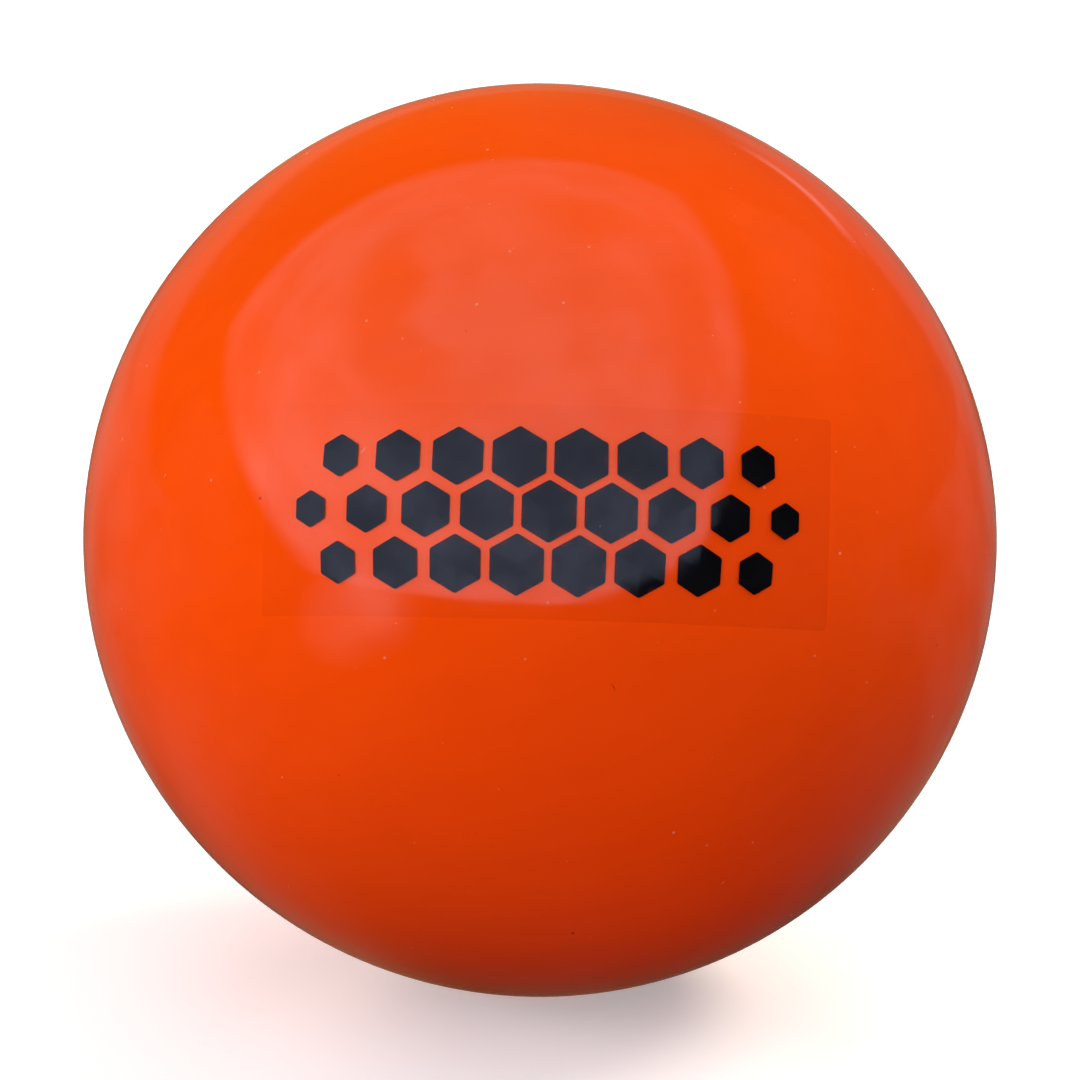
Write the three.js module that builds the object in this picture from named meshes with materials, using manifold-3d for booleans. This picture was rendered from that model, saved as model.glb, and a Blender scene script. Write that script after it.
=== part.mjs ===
// Indoor hockey ball: a moulded core of cork and rubber granules inside a smooth PVC cover.
// The cover is two cups, welded where an annular tongue seats in a groove, and a clear decal
// film lies on the front. Millimetres, +Z up. The origin is the ball's centre, and the front,
// where the film is, faces -Y. The cups and the core turn about Y, and the seam is the plane y = 0.

import * as THREE from 'three';
import { mergeVertices } from 'three/addons/utils/BufferGeometryUtils.js';
import Module from 'manifold-3d';

// Ball and cover. The rules of the game ask for a circumference of 224 to 235.
const ballDiameter = 73;
const coverThickness = 4.5;
const bondGap = 0.2;

// Seam between the cups: the tongue's root width, its height, and the slope of its sides
const tongueWidth = 1.5;
const tongueHeight = 2;
const tongueDraftDegrees = 6;
const tongueSideClearance = 0.15;
const grooveFloorClearance = 0.25;

// Rib that the core's two-part mould leaves round its middle, with sloping sides
const ribHeight = 0.6;
const ribBaseWidth = 2.4;
const ribCrestWidth = 0.8;

// Decal film, as it is seen from straight in front of it
const filmWidth = 42.3;
const filmHeight = 15.9;
const filmCornerRadius = 0.3;
const filmThickness = 0.12;
const filmStandOff = 0.05;
const filmLiftDegrees = 18.2;

// Finishes
const orangePvc = { color: 0xf4481a, roughness: 0.12, metalness: 0 };
const cork = { color: 0xa9743f, roughness: 0.9, metalness: 0 };
const clearFilm = { color: 0xe84312, roughness: 0.08, metalness: 0 };

// Facets: steps round a full turn, and along the arc from a pole to the seam
const turnSteps = 60;
const outerArcSteps = 15;
const innerArcSteps = 12;
const filmTurnSteps = 90;
const filmCornerSteps = 4;
const weldTolerance = 1e-4;

// Worked out from the sizes above
const ballRadius = ballDiameter / 2;
const coverInnerRadius = ballRadius - coverThickness;
const coreRadius = coverInnerRadius - bondGap;
const ribReliefRadius = coverInnerRadius + ribHeight;
const tongueMiddleRadius = (ribReliefRadius + ballRadius) / 2;
const tongueSlope = Math.tan(THREE.MathUtils.degToRad(tongueDraftDegrees));
const filmInnerRadius = ballRadius + filmStandOff;
const filmOuterRadius = filmInnerRadius + filmThickness;
const quarterTurn = Math.PI / 2;

// Every profile is drawn as points of (distance from the Y axis, place along Y), and runs up its
// outer side, towards +Y.
function point(radius, along) {
  return new THREE.Vector2(radius, along);
}

// Part of a circle about the origin, by the angle from the front pole
function arc(radius, fromAngle, toAngle, steps) {
  const points = [];
  for (let step = 0; step <= steps; step += 1) {
    const angle = THREE.MathUtils.lerp(fromAngle, toAngle, step / steps);
    points.push(point(radius * Math.sin(angle), -radius * Math.cos(angle)));
  }
  return points;
}

// One side of the core's rib, or of the relief in the cups that clears it: the angle at which it
// leaves its sphere, and the edge of its crest.
function ribFlank(radius, clearance) {
  return {
    baseAngle: Math.acos((ribBaseWidth / 2 + clearance) / radius),
    crest: point(radius + ribHeight, -ribCrestWidth / 2 - clearance),
  };
}

// The seam's outline from its outer side to its inner side: a tongue for a positive height, or a
// groove for a negative one. The sides slope so that both grow narrower away from the seam.
function seamStep(rootHalf, height) {
  const endHalf = rootHalf - Math.abs(height) * tongueSlope;
  return [
    point(tongueMiddleRadius + rootHalf, 0),
    point(tongueMiddleRadius + endHalf, height),
    point(tongueMiddleRadius - endHalf, height),
    point(tongueMiddleRadius - rootHalf, 0),
  ];
}

// A cup that opens towards +Y: up its outside, across the seam, and back down its inside
function cupProfile(seam) {
  const relief = ribFlank(coverInnerRadius, bondGap);
  return [
    ...arc(ballRadius, 0, quarterTurn, outerArcSteps),
    ...seam,
    point(ribReliefRadius, 0),
    relief.crest,
    ...arc(coverInnerRadius, relief.baseAngle, 0, innerArcSteps),
  ];
}

// The core from its front pole to its rear pole, with the rib at its middle
function coreProfile() {
  const rib = ribFlank(coreRadius, 0);
  const front = [...arc(coreRadius, 0, rib.baseAngle, innerArcSteps), rib.crest];
  return [...front, ...mirrored(front)];
}

// The same outline on the other side of the seam
function mirrored(profile) {
  return profile.map((p) => point(p.x, -p.y)).reverse();
}

function turned(profile) {
  return new THREE.LatheGeometry(profile, turnSteps);
}

// Closed solids for cutting
const wasm = await Module();
wasm.setup();

function toSolid(geometry) {
  const bare = geometry.clone();
  bare.deleteAttribute('normal');
  bare.deleteAttribute('uv');
  const merged = mergeVertices(bare, weldTolerance);
  return new wasm.Manifold(new wasm.Mesh({
    numProp: 3,
    vertProperties: merged.attributes.position.array,
    triVerts: new Uint32Array(merged.index.array),
  }));
}

function toGeometry(solid) {
  const mesh = solid.getMesh();
  const geometry = new THREE.BufferGeometry();
  geometry.setAttribute('position', new THREE.BufferAttribute(mesh.vertProperties, mesh.numProp));
  geometry.setIndex(new THREE.BufferAttribute(mesh.triVerts, 1));
  geometry.computeVertexNormals();
  return geometry;
}

// A sphere whose flats touch the stated radius at their middles, so that nothing of it lies inside
function aroundSphere(radius) {
  const flatness = Math.cos(Math.PI / filmTurnSteps) ** 2;
  const sphere = new THREE.SphereGeometry(radius / flatness, filmTurnSteps, filmTurnSteps / 2);
  return toSolid(sphere.rotateX(quarterTurn));
}

// The film: a rounded rectangle, seen from the front, of a thin shell round the ball
function filmGeometry() {
  const shell = aroundSphere(filmOuterRadius).subtract(aroundSphere(filmInnerRadius));
  const cornerX = filmWidth / 2 - filmCornerRadius;
  const cornerY = filmHeight / 2 - filmCornerRadius;
  const outline = new THREE.Shape();
  outline.absarc(cornerX, cornerY, filmCornerRadius, 0, quarterTurn);
  outline.absarc(-cornerX, cornerY, filmCornerRadius, quarterTurn, 2 * quarterTurn);
  outline.absarc(-cornerX, -cornerY, filmCornerRadius, 2 * quarterTurn, 3 * quarterTurn);
  outline.absarc(cornerX, -cornerY, filmCornerRadius, 3 * quarterTurn, 4 * quarterTurn);
  const cutter = new THREE.ExtrudeGeometry(outline, {
    depth: ballDiameter,
    bevelEnabled: false,
    curveSegments: filmCornerSteps,
  });
  return toGeometry(shell.intersect(toSolid(cutter.rotateX(quarterTurn))));
}

function piece(name, geometry, finish) {
  const mesh = new THREE.Mesh(geometry, new THREE.MeshStandardMaterial(finish));
  mesh.name = name;
  return mesh;
}

// The tongue is on the front cup, and its groove in the rear cup.
const tongue = seamStep(tongueWidth / 2, tongueHeight);
const groove = seamStep(tongueWidth / 2 + tongueSideClearance, -tongueHeight - grooveFloorClearance);

const ball = new THREE.Group();
ball.name = 'indoor_hockey_ball';
ball.add(piece('cork_core', turned(coreProfile()), cork));
ball.add(piece('front_cover_half', turned(cupProfile(tongue)), orangePvc));
ball.add(piece('rear_cover_half', turned(mirrored(cupProfile(groove))), orangePvc));

const film = piece('decal_film', filmGeometry(), clearFilm);
film.rotation.x = -THREE.MathUtils.degToRad(filmLiftDegrees);
ball.add(film);

export default ball;
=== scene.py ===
import math

import bpy
from mathutils import Matrix, Vector


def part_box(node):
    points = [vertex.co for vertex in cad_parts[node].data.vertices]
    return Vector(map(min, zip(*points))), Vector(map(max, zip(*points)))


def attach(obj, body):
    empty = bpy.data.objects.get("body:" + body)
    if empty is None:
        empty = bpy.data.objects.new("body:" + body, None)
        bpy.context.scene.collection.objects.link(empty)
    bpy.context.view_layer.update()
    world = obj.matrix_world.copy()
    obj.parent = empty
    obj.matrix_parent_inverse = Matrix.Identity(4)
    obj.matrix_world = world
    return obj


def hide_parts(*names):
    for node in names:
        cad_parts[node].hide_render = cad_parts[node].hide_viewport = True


# Looks of the indoor hockey ball in its row frame: metres, +Z up, the film's side towards -Y, and
# the seam of the cover at y = 0.
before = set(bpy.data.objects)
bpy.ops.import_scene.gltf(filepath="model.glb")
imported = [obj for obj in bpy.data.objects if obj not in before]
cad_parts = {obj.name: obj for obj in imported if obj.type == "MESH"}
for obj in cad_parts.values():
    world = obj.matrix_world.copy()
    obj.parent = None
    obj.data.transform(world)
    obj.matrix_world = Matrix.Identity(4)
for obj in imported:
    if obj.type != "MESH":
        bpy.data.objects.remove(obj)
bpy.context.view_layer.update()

# A millimetre in metres, and the bend from which an edge is shaded sharp
MM = 0.001
sharp_edge = math.radians(25)

# Cover halves. The two radii come from the CAD boxes.
ball_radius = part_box("rear_cover_half")[1].y
core_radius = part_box("cork_core")[1].y
bond_gap = 0.2 * MM
seam_bevel = 0.05 * MM
tongue_width = 1.5 * MM
tongue_height = 2 * MM
tongue_draft = math.radians(6)
tongue_side_clearance = 0.15 * MM
groove_floor_clearance = 0.25 * MM
rib_height = 0.6 * MM
rib_base_width = 2.4 * MM
rib_crest_width = 0.8 * MM
turn_steps = 192
outer_arc_steps = 96
inner_arc_steps = 40

# Decal film, as it is seen from straight in front of it
film_width = 42.3 * MM
film_height = 15.9 * MM
film_corner = 0.3 * MM
film_gap = 0.03 * MM
film_thickness = 0.1 * MM
film_bevel = 0.08 * MM
film_lift = math.radians(18.2)
film_columns = 120
film_straight_rows = 36
film_corner_rows = 5

# Print on the film: a band of hexagons that grow smaller towards its ends
print_rows = (8, 9, 8)
print_pitch = 4.6 * MM
print_cell = 4.05 * MM
print_end_scale = 0.6
print_corner = 0.25 * MM
print_corner_steps = 5
print_gap = 0.002 * MM
print_thickness = 0.008 * MM
print_rings = 4

# Colours, linear
orange_deep = (0.91, 0.075, 0.0010, 1)
orange_light = (0.95, 0.082, 0.0014, 1)
film_tint = (0.70, 0.060, 0.001, 1)
ink_deep = (0.0012, 0.0014, 0.0020, 1)
ink_light = (0.0026, 0.0030, 0.0042, 1)
ink_gloss = (0.82, 0.70, 0.93, 1)
dust_colour = (0.92, 0.36, 0.22, 1)
grime_colour = (0.22, 0.018, 0.002, 1)
cork_dark = (0.22, 0.085, 0.026, 1)
cork_light = (0.50, 0.23, 0.080, 1)
rubber_colour = (0.035, 0.030, 0.027, 1)

# Patterns. Patches use the middle of a noise's range. Specks and spots have a core of a share of
# their radius, and a speck's strength is drawn by lot and raised to a power, so that most are faint.
patch_detail = 3
patch_noise = (0.3, 0.7)
noise_middle = (0.5, 0.5, 0.5)
speck_core = 0.5
speck_power = 2
spot_core = 0.3

# Surface of the cover. Patterns are in millimetres. A film of fine dust lights up the ball's edge.
# Streaks and short marks are drawn out along X, turned up by an angle in degrees.
pvc_ior = 1.5
haze = {"Sheen_Weight": 0.22, "Sheen_Roughness": 0.3, "Sheen_Tint": (1, 0.36, 0.04, 1)}
streak_stretch = 8
streak_rise = 18
streak_patches = {"size": 2.5, "levels": (0, 0.5)}
flow_patches = {"size": 12, "levels": (0, 0.5)}
mark_stretch = 7
pale_mark_rise = 55
pale_mark_grid = {"spacing": 1.5, "radius": 0.08, "share": 0.5}
dark_mark_rise = -62
dark_mark_grid = {"spacing": 1.8, "radius": 0.08, "share": 0.5}
dust_grid = {"spacing": 2.0, "radius": 0.16, "share": 0.5}
dust_strength = 0.7
dust_roughness = 0.5
grime_grid = {"spacing": 3.5, "radius": 0.18, "share": 0.4}
grime_shift = (40, 17, 5)
grime_strength = 0.8
cover_roughness = {"size": 5, "levels": (0.045, 0.085)}
weld_reach = (0.2, 0.6)
weld_roughness = 0.1
wave_patches = {"size": 16, "levels": (0, 1)}
wave_height = 0.012 * MM
wave_strength = 1

# Surface of the film. It hides a little more of the cover towards its lower right, as painted shade: the
# ends are places along a slope, and the cover is the film's share of what is seen at each.
film_slope = (1, 0, -2)
film_ends = (-58, 8)
film_cover = (0.006, 0.05)
film_smears = {"size": 6, "levels": (0.8, 1.2)}
film_roughness = {"size": 3, "levels": (0.04, 0.1)}

# Surface of the ink
ink_patches = {"size": 4, "levels": (0, 1)}
ink_roughness = {"size": 3, "levels": (0.05, 0.09)}
ink_dust_grid = {"spacing": 2.6, "radius": 0.09, "share": 0.5}
ink_dust_strength = 0.35
ink_dust_roughness = 0.4

# Surface of the core
granules_per_mm = 0.45
granule_stains = {"size": 0.8, "levels": (0, 0.5)}
granule_height = 0.3 * MM
granule_strength = 0.6
rubber_share = 0.2
cork_roughness = {"size": 2, "levels": (0.75, 0.95)}

# Camera, as the photograph was taken. The widths of the ball and of the picture are in pixels.
camera_distance = 0.45
camera_azimuth = -1
camera_elevation = 14.85
camera_roll = 1.8
camera_sensor = 36
camera_clip = camera_distance / 20
ball_pixels = 914
picture_pixels = 1080

# Lamps. A lamp's place is in degrees from the front, positive to the right, and above the floor.
lamp_distance = 2
white = (1, 1, 1)
warm_white = (1, 0.85, 0.7)
warm = (1, 0.46, 0.45)
key_lamp = {"azimuth": -27.8, "elevation": 56.3, "roll": 35, "size": (7.4, 9.0), "radiance": 0.51}
rim_lamp = {"azimuth": 156, "elevation": 17, "roll": 0, "size": (0.7, 0.14), "radiance": 0.5}
fill_size = (1.2, 0.6)
fill_lamps = {
    "left_fill": {"azimuth": -98, "elevation": 8, "radiance": 8.8, "tint": white},
    "front_fill": {"azimuth": -30, "elevation": 8, "radiance": 5.6, "tint": warm},
    "right_fill": {"azimuth": 60, "elevation": 8, "radiance": 2.2, "tint": warm},
    "right_back_fill": {"azimuth": 120, "elevation": 40, "radiance": 13.8, "tint": warm_white},
    "high_back_fill": {"azimuth": 180, "elevation": 45, "radiance": 2.6, "tint": white},
    "low_back_fill": {"azimuth": -158, "elevation": 14, "radiance": 12, "tint": warm_white},
}

# Light on the panels, by places from 0 to 1 along their sides. The key fades by a power along a
# slope, from a low place on, and its clouds have ragged edges.
panel_middle = (0.5, 0.5, 0)
rim_feather = 0.9
key_tint = (0.7, 0.93, 1)
key_feather = 0.2
key_slope = (0.4, 1, 0)
key_low = 0.57
key_power = -1.7
key_mottle = {"size": 0.1, "levels": (0.75, 1.25)}
key_clouds = (
    {"middle": (0.415, 0.58, 0), "reach": (0.07, 0.15, 1), "light": 0.45},
    {"middle": (0.69, 0.70, 0), "reach": (0.13, 0.09, 1), "light": 0.55},
    {"middle": (0.81, 0.54, 0), "reach": (0.09, 0.19, 1), "light": 0.55},
    {"middle": (0.1, 0.76, 0), "reach": (0.28, 0.2, 1), "light": 0.55},
)
cloud_wander = (0.12, 0.12, 0.12)
cloud_ripples = 10

# Room, by directions from the ball: a wall under a dim sky, each with a grey on the left and one on
# the right. An edge of the wall's top has the way that it faces and its height that way.
wall_left_grey = 0.13
wall_right_grey = 0.06
wall_sides = (-0.2, 0.4)
wall_edges = (
    {"faces": (-0.63, 0, 1), "height": 0.575},
    {"faces": (0.2, 0, 1), "height": 0.19},
)
wall_blur = (-0.045, 0.045)
sky_left_grey = 0.012
sky_right_grey = 0.043
sky_sides = (-0.15, 0)
pale_wall = (0.37, 0.93, 0.07)
pale_wall_reach = (0.17, 0.25)
pale_wall_grey = 0.1

# Floor
floor_reach = 30
floor_pale = (0.92, 0.92, 0.92, 1)
floor_bounce = (0.22, 0.05, 0.05, 1)
floor_glow = 0.3

# Card on the floor, which only reflections show. It glows with its greys, as painted light and shade of
# the ground round the ball. Its pattern is drawn in, so that a place at the near distance, in
# millimetres, lies at 0.5 and the horizon at 1.
card_hole = 2 * MM
card_reach = 60
card_lift = 1 * MM
card_steps = 64
card_near = 60
card_front_glow = 0.02
card_back_glow = 0.138
card_blend = (-0.6, 0.9)
card_mottle = {"size": 0.25, "levels": (0.6, 1.5)}
card_mottle_shift = (0, 0, 12)
card_spots = (
    {"middle": (-0.61, -0.65, 0), "reach": (0.26, 0.26, 1), "light": 45},
    {"middle": (-0.48, -0.11, 0), "reach": (0.22, 0.22, 1), "light": 2.2},
    {"middle": (0.87, 0.2, 0), "reach": (0.2, 0.25, 1), "light": 0.3},
)


class Graph:
    """Builds the node tree of a material, a lamp or the world from short calls."""

    def __init__(self, owner):
        owner.use_nodes = True
        self.tree = owner.node_tree
        self.tree.nodes.clear()

    def add(self, kind, inputs, **settings):
        """A node with its settings. Its inputs are values, or outputs of other nodes to link."""
        node = self.tree.nodes.new(kind)
        for name, value in settings.items():
            setattr(node, name, value)
        for name, value in inputs.items():
            if isinstance(value, bpy.types.NodeSocket):
                self.tree.links.new(value, node.inputs[name])
            else:
                node.inputs[name].default_value = value
        return node

    def math(self, operation, a, b=0):
        return self.add("ShaderNodeMath", {0: a, 1: b}, operation=operation).outputs["Value"]

    def vector(self, operation, a, b=(0, 0, 0)):
        return self.add("ShaderNodeVectorMath", {0: a, 1: b}, operation=operation).outputs["Vector"]

    def measure(self, operation, a, b=(0, 0, 0)):
        """One number from vectors, such as a length."""
        return self.add("ShaderNodeVectorMath", {0: a, 1: b}, operation=operation).outputs["Value"]

    def parts(self, vector):
        return self.add("ShaderNodeSeparateXYZ", {"Vector": vector}).outputs

    def mix(self, factor, a, b):
        inputs = {"Factor": factor, "A": a, "B": b}
        return self.add("ShaderNodeMix", inputs, data_type="RGBA").outputs["Result"]

    def spread(self, value, from_range, to_range):
        """A value smoothly carried from one range to another."""
        inputs = {
            "Value": value,
            "From Min": from_range[0],
            "From Max": from_range[1],
            "To Min": to_range[0],
            "To Max": to_range[1],
        }
        return self.add("ShaderNodeMapRange", inputs, interpolation_type="SMOOTHSTEP").outputs["Result"]

    def place(self):
        """Places on the object, in millimetres."""
        object_place = self.add("ShaderNodeTexCoord", {}).outputs["Object"]
        return self.vector("MULTIPLY", object_place, (1 / MM, 1 / MM, 1 / MM))

    def patches(self, place, size, levels):
        """Cloudy patches of about a size, between two levels."""
        inputs = {"Vector": place, "Scale": 1 / size, "Detail": patch_detail}
        noise = self.add("ShaderNodeTexNoise", inputs).outputs["Fac"]
        return self.spread(noise, patch_noise, levels)

    def drawn_out(self, place, rise, stretch):
        """Places in which a pattern is drawn out along X, turned up to the right by degrees."""
        inputs = {"Vector": place, "Rotation": (0, -math.radians(rise), 0), "Scale": (stretch, 1, 1)}
        return self.add("ShaderNodeMapping", inputs, vector_type="TEXTURE").outputs["Vector"]

    def specks(self, place, spacing, radius, share):
        """Small round marks in a share of the cells of a loose grid, some faint and some strong."""
        cells = self.add("ShaderNodeTexVoronoi", {"Vector": place, "Scale": 1 / spacing})
        edge = radius / spacing
        marks = self.spread(cells.outputs["Distance"], (speck_core * edge, edge), (1, 0))
        lot = self.add("ShaderNodeSeparateColor", {"Color": cells.outputs["Color"]}).outputs
        chosen = self.math("LESS_THAN", lot["Red"], share)
        strength = self.math("POWER", lot["Green"], speck_power)
        return self.math("MULTIPLY", marks, self.math("MULTIPLY", chosen, strength))

    def spot(self, place, middle, reach, light):
        """1 all over, and another light in the core of a soft round spot."""
        offset = self.vector("DIVIDE", self.vector("SUBTRACT", place, middle), reach)
        return self.spread(self.measure("LENGTH", offset), (spot_core, 1), (light, 1))

    def bump(self, height, strength, distance):
        inputs = {"Height": height, "Strength": strength, "Distance": distance}
        return self.add("ShaderNodeBump", inputs).outputs["Normal"]

    def principled(self, **inputs):
        """The material's shader, with inputs given by their names with underscores."""
        named = {name.replace("_", " "): value for name, value in inputs.items()}
        shader = self.add("ShaderNodeBsdfPrincipled", named)
        self.add("ShaderNodeOutputMaterial", {"Surface": shader.outputs["BSDF"]})


def new_material(name):
    material = bpy.data.materials.new(name)
    return material, Graph(material)


def orange_pvc():
    """Glossy orange cover with faint flow streaks, dust, and a duller line at the weld."""
    material, graph = new_material("orange_pvc")
    place = graph.place()
    pale_marks = graph.specks(graph.drawn_out(place, pale_mark_rise, mark_stretch), **pale_mark_grid)
    dark_marks = graph.specks(graph.drawn_out(place, dark_mark_rise, mark_stretch), **dark_mark_grid)
    dust = graph.math("MAXIMUM", graph.specks(place, **dust_grid), pale_marks)
    grime = graph.specks(graph.vector("ADD", place, grime_shift), **grime_grid)
    grime = graph.math("MAXIMUM", grime, dark_marks)
    streaks = graph.patches(graph.drawn_out(place, streak_rise, streak_stretch), **streak_patches)
    flow = graph.math("ADD", graph.patches(place, **flow_patches), streaks)
    colour = graph.mix(flow, orange_deep, orange_light)
    colour = graph.mix(graph.math("MULTIPLY", grime, grime_strength), colour, grime_colour)
    colour = graph.mix(graph.math("MULTIPLY", dust, dust_strength), colour, dust_colour)
    from_seam = graph.math("ABSOLUTE", graph.parts(place)["Y"])
    weld = graph.spread(from_seam, weld_reach, (weld_roughness, 0))
    roughness = graph.math("ADD", graph.patches(place, **cover_roughness), weld)
    roughness = graph.math("ADD", roughness, graph.math("MULTIPLY", dust, dust_roughness))
    bent = graph.bump(graph.patches(place, **wave_patches), wave_strength, wave_height)
    graph.principled(Base_Color=colour, Roughness=roughness, IOR=pvc_ior, Normal=bent, **haze)
    return material


def clear_film():
    """Thin clear film that darkens the cover a little, more towards its lower right as painted shade, and
    has faint smears.
    """
    material, graph = new_material("clear_film")
    place = graph.place()
    cover = graph.spread(graph.measure("DOT_PRODUCT", place, film_slope), film_ends, film_cover)
    # The film's share grows towards the lower right as painted shade, and the smears vary it.
    shade_and_smears = graph.math("MULTIPLY", cover, graph.patches(place, **film_smears))
    roughness = graph.patches(place, **film_roughness)
    graph.principled(Base_Color=film_tint, Roughness=roughness, IOR=pvc_ior, Alpha=shade_and_smears)
    return material


def black_ink():
    """Glossy black ink, a little uneven, with dust on it."""
    material, graph = new_material("black_ink")
    place = graph.place()
    dust = graph.specks(place, **ink_dust_grid)
    colour = graph.mix(graph.patches(place, **ink_patches), ink_deep, ink_light)
    colour = graph.mix(graph.math("MULTIPLY", dust, ink_dust_strength), colour, dust_colour)
    dulled = graph.math("MULTIPLY", dust, ink_dust_roughness)
    roughness = graph.math("ADD", graph.patches(place, **ink_roughness), dulled)
    graph.principled(Base_Color=colour, Roughness=roughness, IOR=pvc_ior, Specular_Tint=ink_gloss)
    return material


def moulded_cork():
    """Pressed cork granules with some black rubber among them."""
    material, graph = new_material("moulded_cork")
    place = graph.place()
    granules = graph.add("ShaderNodeTexVoronoi", {"Vector": place, "Scale": granules_per_mm}).outputs
    lot = graph.add("ShaderNodeSeparateColor", {"Color": granules["Color"]}).outputs
    colour = graph.mix(lot["Green"], cork_dark, cork_light)
    colour = graph.mix(graph.patches(place, **granule_stains), colour, cork_dark)
    colour = graph.mix(graph.math("LESS_THAN", lot["Red"], rubber_share), colour, rubber_colour)
    roughness = graph.patches(place, **cork_roughness)
    height = graph.math("SUBTRACT", 1, granules["Distance"])
    bent = graph.bump(height, granule_strength, granule_height)
    graph.principled(Base_Color=colour, Roughness=roughness, Normal=bent)
    return material


def new_mesh(name, verts, faces):
    mesh = bpy.data.meshes.new(name)
    mesh.from_pydata(verts, [], faces)
    mesh.validate()
    return mesh


def new_object(mesh, material):
    """An object with smooth faces and sharp edges, named as its mesh is."""
    mesh.shade_smooth()
    mesh.set_sharp_from_angle(angle=sharp_edge)
    mesh.materials.append(material)
    obj = bpy.data.objects.new(mesh.name, mesh)
    bpy.context.scene.collection.objects.link(obj)
    return obj


def arc(radius, from_angle, to_angle, steps):
    """Points (distance from the Y axis, place along Y) of a circle, by the angle from the front pole."""
    angles = [from_angle + (to_angle - from_angle) * step / steps for step in range(steps + 1)]
    return [(radius * math.sin(angle), -radius * math.cos(angle)) for angle in angles]


def seam_step(root_half, height):
    """The seam's outline from its outer side to its inner side: a tongue, or below zero a groove."""
    middle = (core_radius + bond_gap + rib_height + ball_radius) / 2
    end_half = root_half - abs(height) * math.tan(tongue_draft)
    return [
        (middle + root_half, 0),
        (middle + end_half, height),
        (middle - end_half, height),
        (middle - root_half, 0),
    ]


def cup_profile(seam):
    """A cup that opens towards +Y: up its outside, across the seam, and back down its inside."""
    inner_radius = core_radius + bond_gap
    relief_radius = inner_radius + rib_height
    rim_angle = math.acos(seam_bevel / ball_radius)
    relief_angle = math.acos((rib_base_width / 2 + bond_gap) / inner_radius)
    return [
        *arc(ball_radius, 0, rim_angle, outer_arc_steps),
        (ball_radius - seam_bevel, 0),
        *seam,
        (relief_radius, 0),
        (relief_radius, -rib_crest_width / 2 - bond_gap),
        *arc(inner_radius, relief_angle, 0, inner_arc_steps),
    ]


def mirrored(profile):
    return [(radius, -along) for radius, along in reversed(profile)]


def turned(name, profile):
    """A closed solid turned about Y, from a profile that starts and ends on the axis."""
    verts = []
    rings = []
    for radius, along in profile:
        steps = turn_steps if radius > 0 else 1
        rings.append([len(verts) + step for step in range(steps)])
        for step in range(steps):
            angle = 2 * math.pi * step / turn_steps
            verts.append((radius * math.cos(angle), along, radius * math.sin(angle)))
    faces = []
    for lower, upper in zip(rings, rings[1:]):
        for step in range(turn_steps):
            after = step + 1
            corners = [
                lower[step % len(lower)],
                upper[step % len(upper)],
                upper[after % len(upper)],
                lower[after % len(lower)],
            ]
            faces.append(list(dict.fromkeys(corners)))
    return new_mesh(name, verts, faces)


def cover_front():
    tongue = seam_step(tongue_width / 2, tongue_height)
    return turned("cover_front", cup_profile(tongue))


def cover_rear():
    groove_half = tongue_width / 2 + tongue_side_clearance
    groove = seam_step(groove_half, -tongue_height - groove_floor_clearance)
    return turned("cover_rear", mirrored(cup_profile(groove)))


def on_film(point):
    """A point of the film or its print, turned up from facing -Y to where it lies on the ball."""
    return Matrix.Rotation(-film_lift, 3, "X") @ Vector(point)


def film_rows(inset):
    """Rows of the film's outline from its lower edge up, each as (height, half width)."""
    corner = film_corner - inset
    corner_height = film_height / 2 - film_corner
    corner_reach = film_width / 2 - film_corner
    upper = []
    for step in range(film_corner_rows + 1):
        angle = math.pi / 2 * step / film_corner_rows
        upper.append((corner_height + corner * math.sin(angle), corner_reach + corner * math.cos(angle)))
    straight = []
    for step in range(1, film_straight_rows):
        height = corner_height * (2 * step / film_straight_rows - 1)
        straight.append((height, corner_reach + corner))
    lower = [(-height, half) for height, half in reversed(upper)]
    return lower + straight + upper


def film_sheet(radius, inset):
    """A grid of points of the film at one radius, row by row."""
    points = []
    for height, half in film_rows(inset):
        for column in range(film_columns + 1):
            across = half * (2 * column / film_columns - 1)
            depth = math.sqrt(radius ** 2 - across ** 2 - height ** 2)
            points.append(on_film((across, -depth, height)))
    return points


def film():
    """The film: an outer sheet, an inner sheet, and a sloping edge between them."""
    inner_radius = ball_radius + film_gap
    outer = film_sheet(inner_radius + film_thickness, film_bevel)
    inner = film_sheet(inner_radius, 0)
    columns = film_columns + 1
    last_row = len(outer) - columns
    faces = []
    for row in range(0, last_row, columns):
        for corner in range(row, row + film_columns):
            quad = [corner, corner + 1, corner + 1 + columns, corner + columns]
            faces.append(quad)
            faces.append([len(outer) + index for index in reversed(quad)])
    edge = [
        *range(film_columns),
        *range(film_columns, last_row + film_columns, columns),
        *range(last_row + film_columns, last_row, -1),
        *range(last_row, 0, -columns),
    ]
    for index, after in zip(edge, edge[1:] + edge[:1]):
        faces.append([after, index, len(outer) + index, len(outer) + after])
    return new_mesh("film", outer + inner, faces)


def hexagon(across_flats):
    """Outline of a hexagon that stands on a corner, with its corners rounded."""
    corner_reach = (across_flats - 2 * print_corner) / math.sqrt(3)
    points = []
    for corner in range(6):
        middle = math.radians(90 + 60 * corner)
        for step in range(print_corner_steps + 1):
            angle = middle + math.radians(60 * step / print_corner_steps - 30)
            points.append(Vector((
                corner_reach * math.cos(middle) + print_corner * math.cos(angle),
                corner_reach * math.sin(middle) + print_corner * math.sin(angle),
            )))
    return points


def print_point(place, radius):
    """A point of the flat print, laid round the ball."""
    longitude = place.x / ball_radius
    latitude = place.y / ball_radius
    return on_film((
        radius * math.cos(latitude) * math.sin(longitude),
        -radius * math.cos(latitude) * math.cos(longitude),
        radius * math.sin(latitude),
    ))


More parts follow.
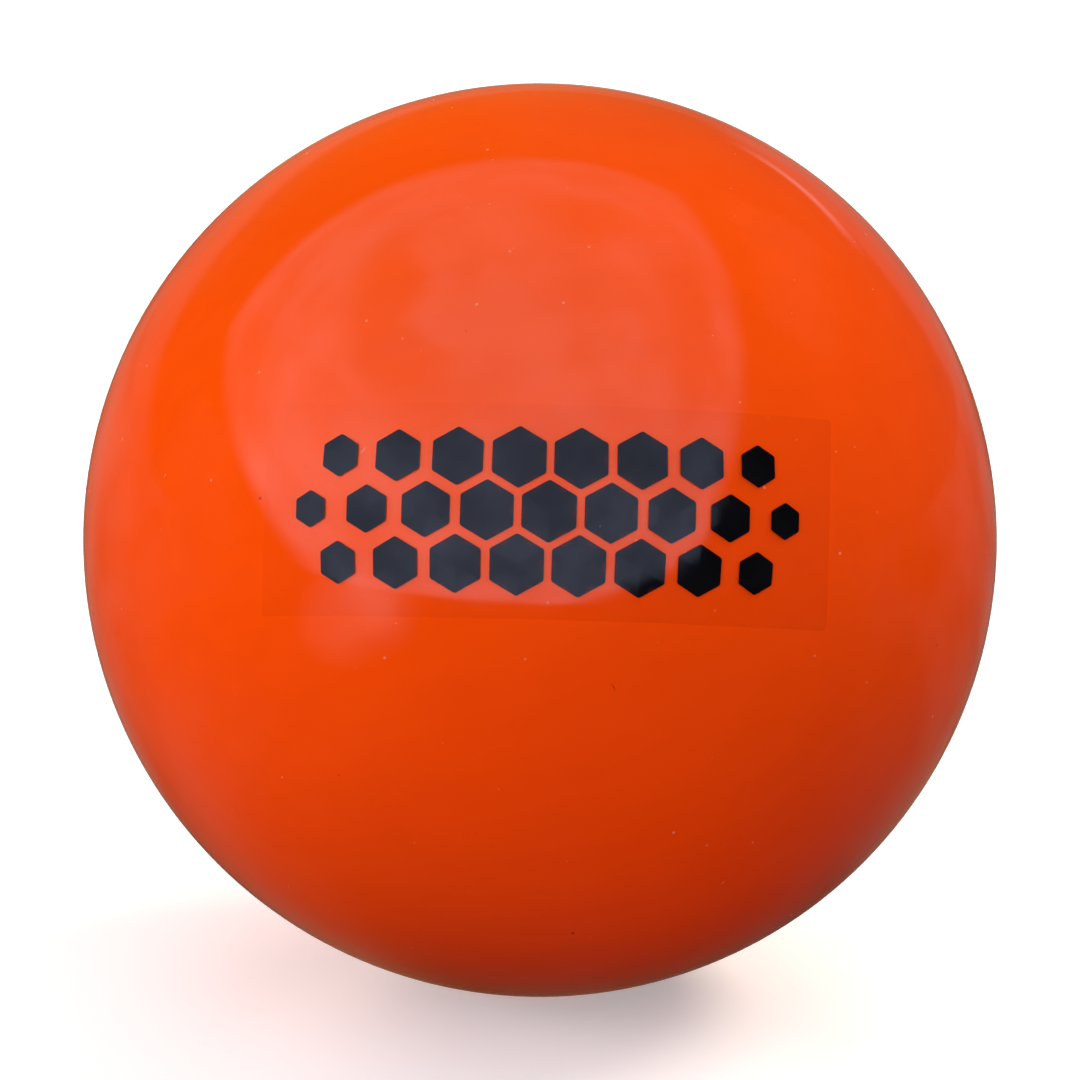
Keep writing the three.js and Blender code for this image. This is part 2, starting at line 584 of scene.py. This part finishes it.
def print_cells():
    """The middle and the size of each hexagon of the band."""
    row_height = print_pitch * math.sqrt(3) / 2
    reach = print_pitch * (max(print_rows) - 1) / 2
    cells = []
    for row, count in enumerate(print_rows):
        for column in range(count):
            across = print_pitch * (column - (count - 1) / 2)
            height = row_height * (row - (len(print_rows) - 1) / 2)
            scale = 1 - (1 - print_end_scale) * (across / reach) ** 2
            cells.append((Vector((across, height)), print_cell * scale))
    return cells


def film_print():
    """The print: a thin plate for each hexagon, in rings so that it follows the ball."""
    under_radius = ball_radius + film_gap + film_thickness + print_gap
    verts = []
    faces = []
    for middle, size in print_cells():
        outline = hexagon(size)
        count = len(outline)
        starts = []
        for radius in (under_radius, under_radius + print_thickness):
            starts.append(len(verts))
            verts.append(print_point(middle, radius))
            for ring in range(1, print_rings + 1):
                verts += [print_point(middle + point * ring / print_rings, radius) for point in outline]
        under, over = starts
        rim = 1 + (print_rings - 1) * count
        for step in range(count):
            after = (step + 1) % count
            faces.append([over, over + 1 + step, over + 1 + after])
            faces.append([under, under + 1 + after, under + 1 + step])
            for inner in range(1, rim, count):
                quad = [inner + step, inner + count + step, inner + count + after, inner + after]
                faces.append([over + index for index in quad])
                faces.append([under + index for index in reversed(quad)])
            faces.append([under + rim + step, under + rim + after, over + rim + after, over + rim + step])
    return new_mesh("film_print", verts, faces)


def pale_floor():
    """Plain matt floor. Seen by itself it is nearly white, and it throws little light up at the ball."""
    material, graph = new_material("pale_floor")
    path = graph.add("ShaderNodeLightPath", {}).outputs
    mirrored_ray = graph.math("MAXIMUM", path["Is Glossy Ray"], path["Is Transmission Ray"])
    seen = graph.math("MAXIMUM", path["Is Camera Ray"], mirrored_ray)
    shade = graph.mix(seen, floor_bounce, floor_pale)
    matt = graph.add("ShaderNodeBsdfDiffuse", {"Color": shade})
    glow = graph.add("ShaderNodeEmission", {"Strength": graph.math("MULTIPLY", seen, floor_glow)})
    both = graph.add("ShaderNodeAddShader", {0: matt.outputs[0], 1: glow.outputs[0]})
    graph.add("ShaderNodeOutputMaterial", {"Surface": both.outputs[0]})
    return material


def card_glow():
    """A dark grey glow, uneven and paler behind the ball, with brighter and darker spots: painted light
    and shade of the ground round the ball.
    """
    material, graph = new_material("card_glow")
    place = graph.place()
    drawn_in = graph.vector("DIVIDE", place, graph.math("ADD", graph.measure("LENGTH", place), card_near))
    shade = graph.spread(graph.parts(drawn_in)["Y"], card_blend, (card_front_glow, card_back_glow))
    shifted = graph.vector("ADD", drawn_in, card_mottle_shift)
    shade = graph.math("MULTIPLY", shade, graph.patches(shifted, **card_mottle))
    for spot in card_spots:
        shade = graph.math("MULTIPLY", shade, graph.spot(drawn_in, **spot))
    emission = graph.add("ShaderNodeEmission", {"Strength": shade})
    graph.add("ShaderNodeOutputMaterial", {"Surface": emission.outputs[0]})
    return material


def floor():
    corners = [(-1, -1), (1, -1), (1, 1), (-1, 1)]
    verts = [(x * floor_reach, y * floor_reach, -ball_radius) for x, y in corners]
    return new_object(new_mesh("floor", verts, [[0, 1, 2, 3]]), pale_floor())


def dark_card():
    """A glowing dark card on the floor round the ball, which only reflections show, as studio flags do.
    """
    verts = []
    faces = []
    for step in range(card_steps):
        angle = 2 * math.pi * step / card_steps
        for radius in (card_hole, card_reach):
            verts.append((radius * math.cos(angle), radius * math.sin(angle), card_lift - ball_radius))
        after = (step + 1) % card_steps
        faces.append([2 * step, 2 * step + 1, 2 * after + 1, 2 * after])
    card = new_object(new_mesh("dark_card", verts, faces), card_glow())
    card.visible_camera = False
    card.visible_diffuse = False
    card.visible_shadow = False
    card.visible_transmission = False
    return card


def direction(azimuth, elevation):
    """Towards a place round the ball, by degrees from the front and above the floor."""
    turn = math.radians(azimuth)
    rise = math.radians(elevation)
    return Vector((math.sin(turn) * math.cos(rise), -math.cos(turn) * math.cos(rise), math.sin(rise)))


def facing_ball(azimuth, elevation, roll, distance):
    """Where something stands that looks at the ball along its own -Z."""
    towards = direction(azimuth, elevation)
    turned_in = towards.to_track_quat("Z", "Y").to_matrix().to_4x4()
    rolled = Matrix.Rotation(math.radians(roll), 4, "Z")
    return Matrix.Translation(towards * distance) @ turned_in @ rolled


def soft_panel(name, azimuth, elevation, roll, size, radiance, tint):
    """A rectangular lamp that faces the ball."""
    lamp = bpy.data.lights.new(name, "AREA")
    lamp.color = tint
    lamp.shape = "RECTANGLE"
    lamp.size, lamp.size_y = size
    lamp.energy = radiance * math.pi * size[0] * size[1]
    panel = bpy.data.objects.new(name, lamp)
    panel.matrix_world = facing_ball(azimuth, elevation, roll, lamp_distance)
    bpy.context.scene.collection.objects.link(panel)
    return panel


def lamp_place(graph):
    """Places on a panel, from 0 to 1 along each of its sides."""
    return graph.add("ShaderNodeNewGeometry", {}).outputs["Parametric"]


def feather(graph, width):
    """1 in the middle of a panel, and down to 0 at its edges over a share of its half width."""
    from_middle = graph.vector("SUBTRACT", lamp_place(graph), panel_middle)
    parts = graph.parts(graph.vector("ABSOLUTE", from_middle))
    furthest = graph.math("MAXIMUM", parts["X"], parts["Y"])
    return graph.spread(furthest, ((1 - width) / 2, 1 / 2), (1, 0))


def shine(graph, strength):
    emission = graph.add("ShaderNodeEmission", {"Strength": strength})
    graph.add("ShaderNodeOutputLight", {"Surface": emission.outputs[0]})


def add_key():
    """A large soft panel like an overcast sky: cloudy, and brighter low down in front."""
    graph = Graph(soft_panel("key", tint=key_tint, **key_lamp).data)
    place = lamp_place(graph)
    height = graph.math("MAXIMUM", graph.measure("DOT_PRODUCT", place, key_slope), key_low)
    grade = graph.math("POWER", height, key_power)
    sky = graph.math("MULTIPLY", grade, graph.patches(place, **key_mottle))
    noise = graph.add("ShaderNodeTexNoise", {"Vector": place, "Scale": cloud_ripples}).outputs["Color"]
    shift = graph.vector("MULTIPLY", graph.vector("SUBTRACT", noise, noise_middle), cloud_wander)
    ragged = graph.vector("ADD", place, shift)
    for cloud in key_clouds:
        sky = graph.math("MULTIPLY", sky, graph.spot(ragged, **cloud))
    shine(graph, graph.math("MULTIPLY", sky, feather(graph, key_feather)))


def add_rim():
    """A thin strip behind, which draws a soft line along the ball's edge."""
    graph = Graph(soft_panel("rim", tint=white, **rim_lamp).data)
    shine(graph, feather(graph, rim_feather))


def above_wall(graph, towards):
    """How far a direction points above the wall, whose top has two sloping edges."""
    heights = []
    for edge in wall_edges:
        along = graph.measure("DOT_PRODUCT", towards, edge["faces"])
        heights.append(graph.math("SUBTRACT", along, edge["height"]))
    return graph.math("MAXIMUM", *heights)


def room_grey(graph, towards):
    """A wall under a dim sky: paler on the left, and in one place behind the ball on the right."""
    side = graph.parts(towards)["X"]
    wall = graph.spread(side, wall_sides, (wall_left_grey, wall_right_grey))
    sky = graph.spread(side, sky_sides, (sky_left_grey, sky_right_grey))
    away = graph.measure("DISTANCE", towards, pale_wall)
    pale = graph.spread(away, pale_wall_reach, (pale_wall_grey, 0))
    return graph.math("ADD", pale, graph.spread(above_wall(graph, towards), wall_blur, (wall, sky)))


def light_studio():
    """A grey room, the key, the strip, and fills that leave no highlight."""
    world = bpy.data.worlds.new("studio")
    graph = Graph(world)
    towards = graph.add("ShaderNodeTexCoord", {}).outputs["Generated"]
    grey = graph.add("ShaderNodeBackground", {"Color": room_grey(graph, towards)})
    graph.add("ShaderNodeOutputWorld", {"Surface": grey.outputs[0]})
    bpy.context.scene.world = world
    add_key()
    add_rim()
    for name, lamp in fill_lamps.items():
        soft_panel(name, roll=0, size=fill_size, **lamp).visible_glossy = False


def add_camera():
    """The photograph's view: the ball fills its share of the picture's width."""
    data = bpy.data.cameras.new("camera")
    half_angle = math.asin(ball_radius / camera_distance)
    ball_share = ball_pixels / picture_pixels
    data.sensor_width = camera_sensor
    data.lens = camera_sensor / 2 * ball_share / math.tan(half_angle)
    data.clip_start = camera_clip
    camera = bpy.data.objects.new("camera", data)
    camera.matrix_world = facing_ball(camera_azimuth, camera_elevation, camera_roll, camera_distance)
    bpy.context.scene.collection.objects.link(camera)
    bpy.context.scene.camera = camera


def add_piece(mesh, material, node):
    """A piece of the ball, on the root body. Where it stands for a CAD node, that node is hidden."""
    piece = new_object(mesh, material)
    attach(piece, "root")
    if node:
        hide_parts(node)


cover_material = orange_pvc()
add_piece(cover_front(), cover_material, "front_cover_half")
add_piece(cover_rear(), cover_material, "rear_cover_half")
add_piece(film(), clear_film(), "decal_film")
add_piece(film_print(), black_ink(), None)
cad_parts["cork_core"].material_slots[0].material = moulded_cork()

floor()
dark_card()
light_studio()
add_camera()
bpy.context.scene.view_settings.view_transform = "Standard"
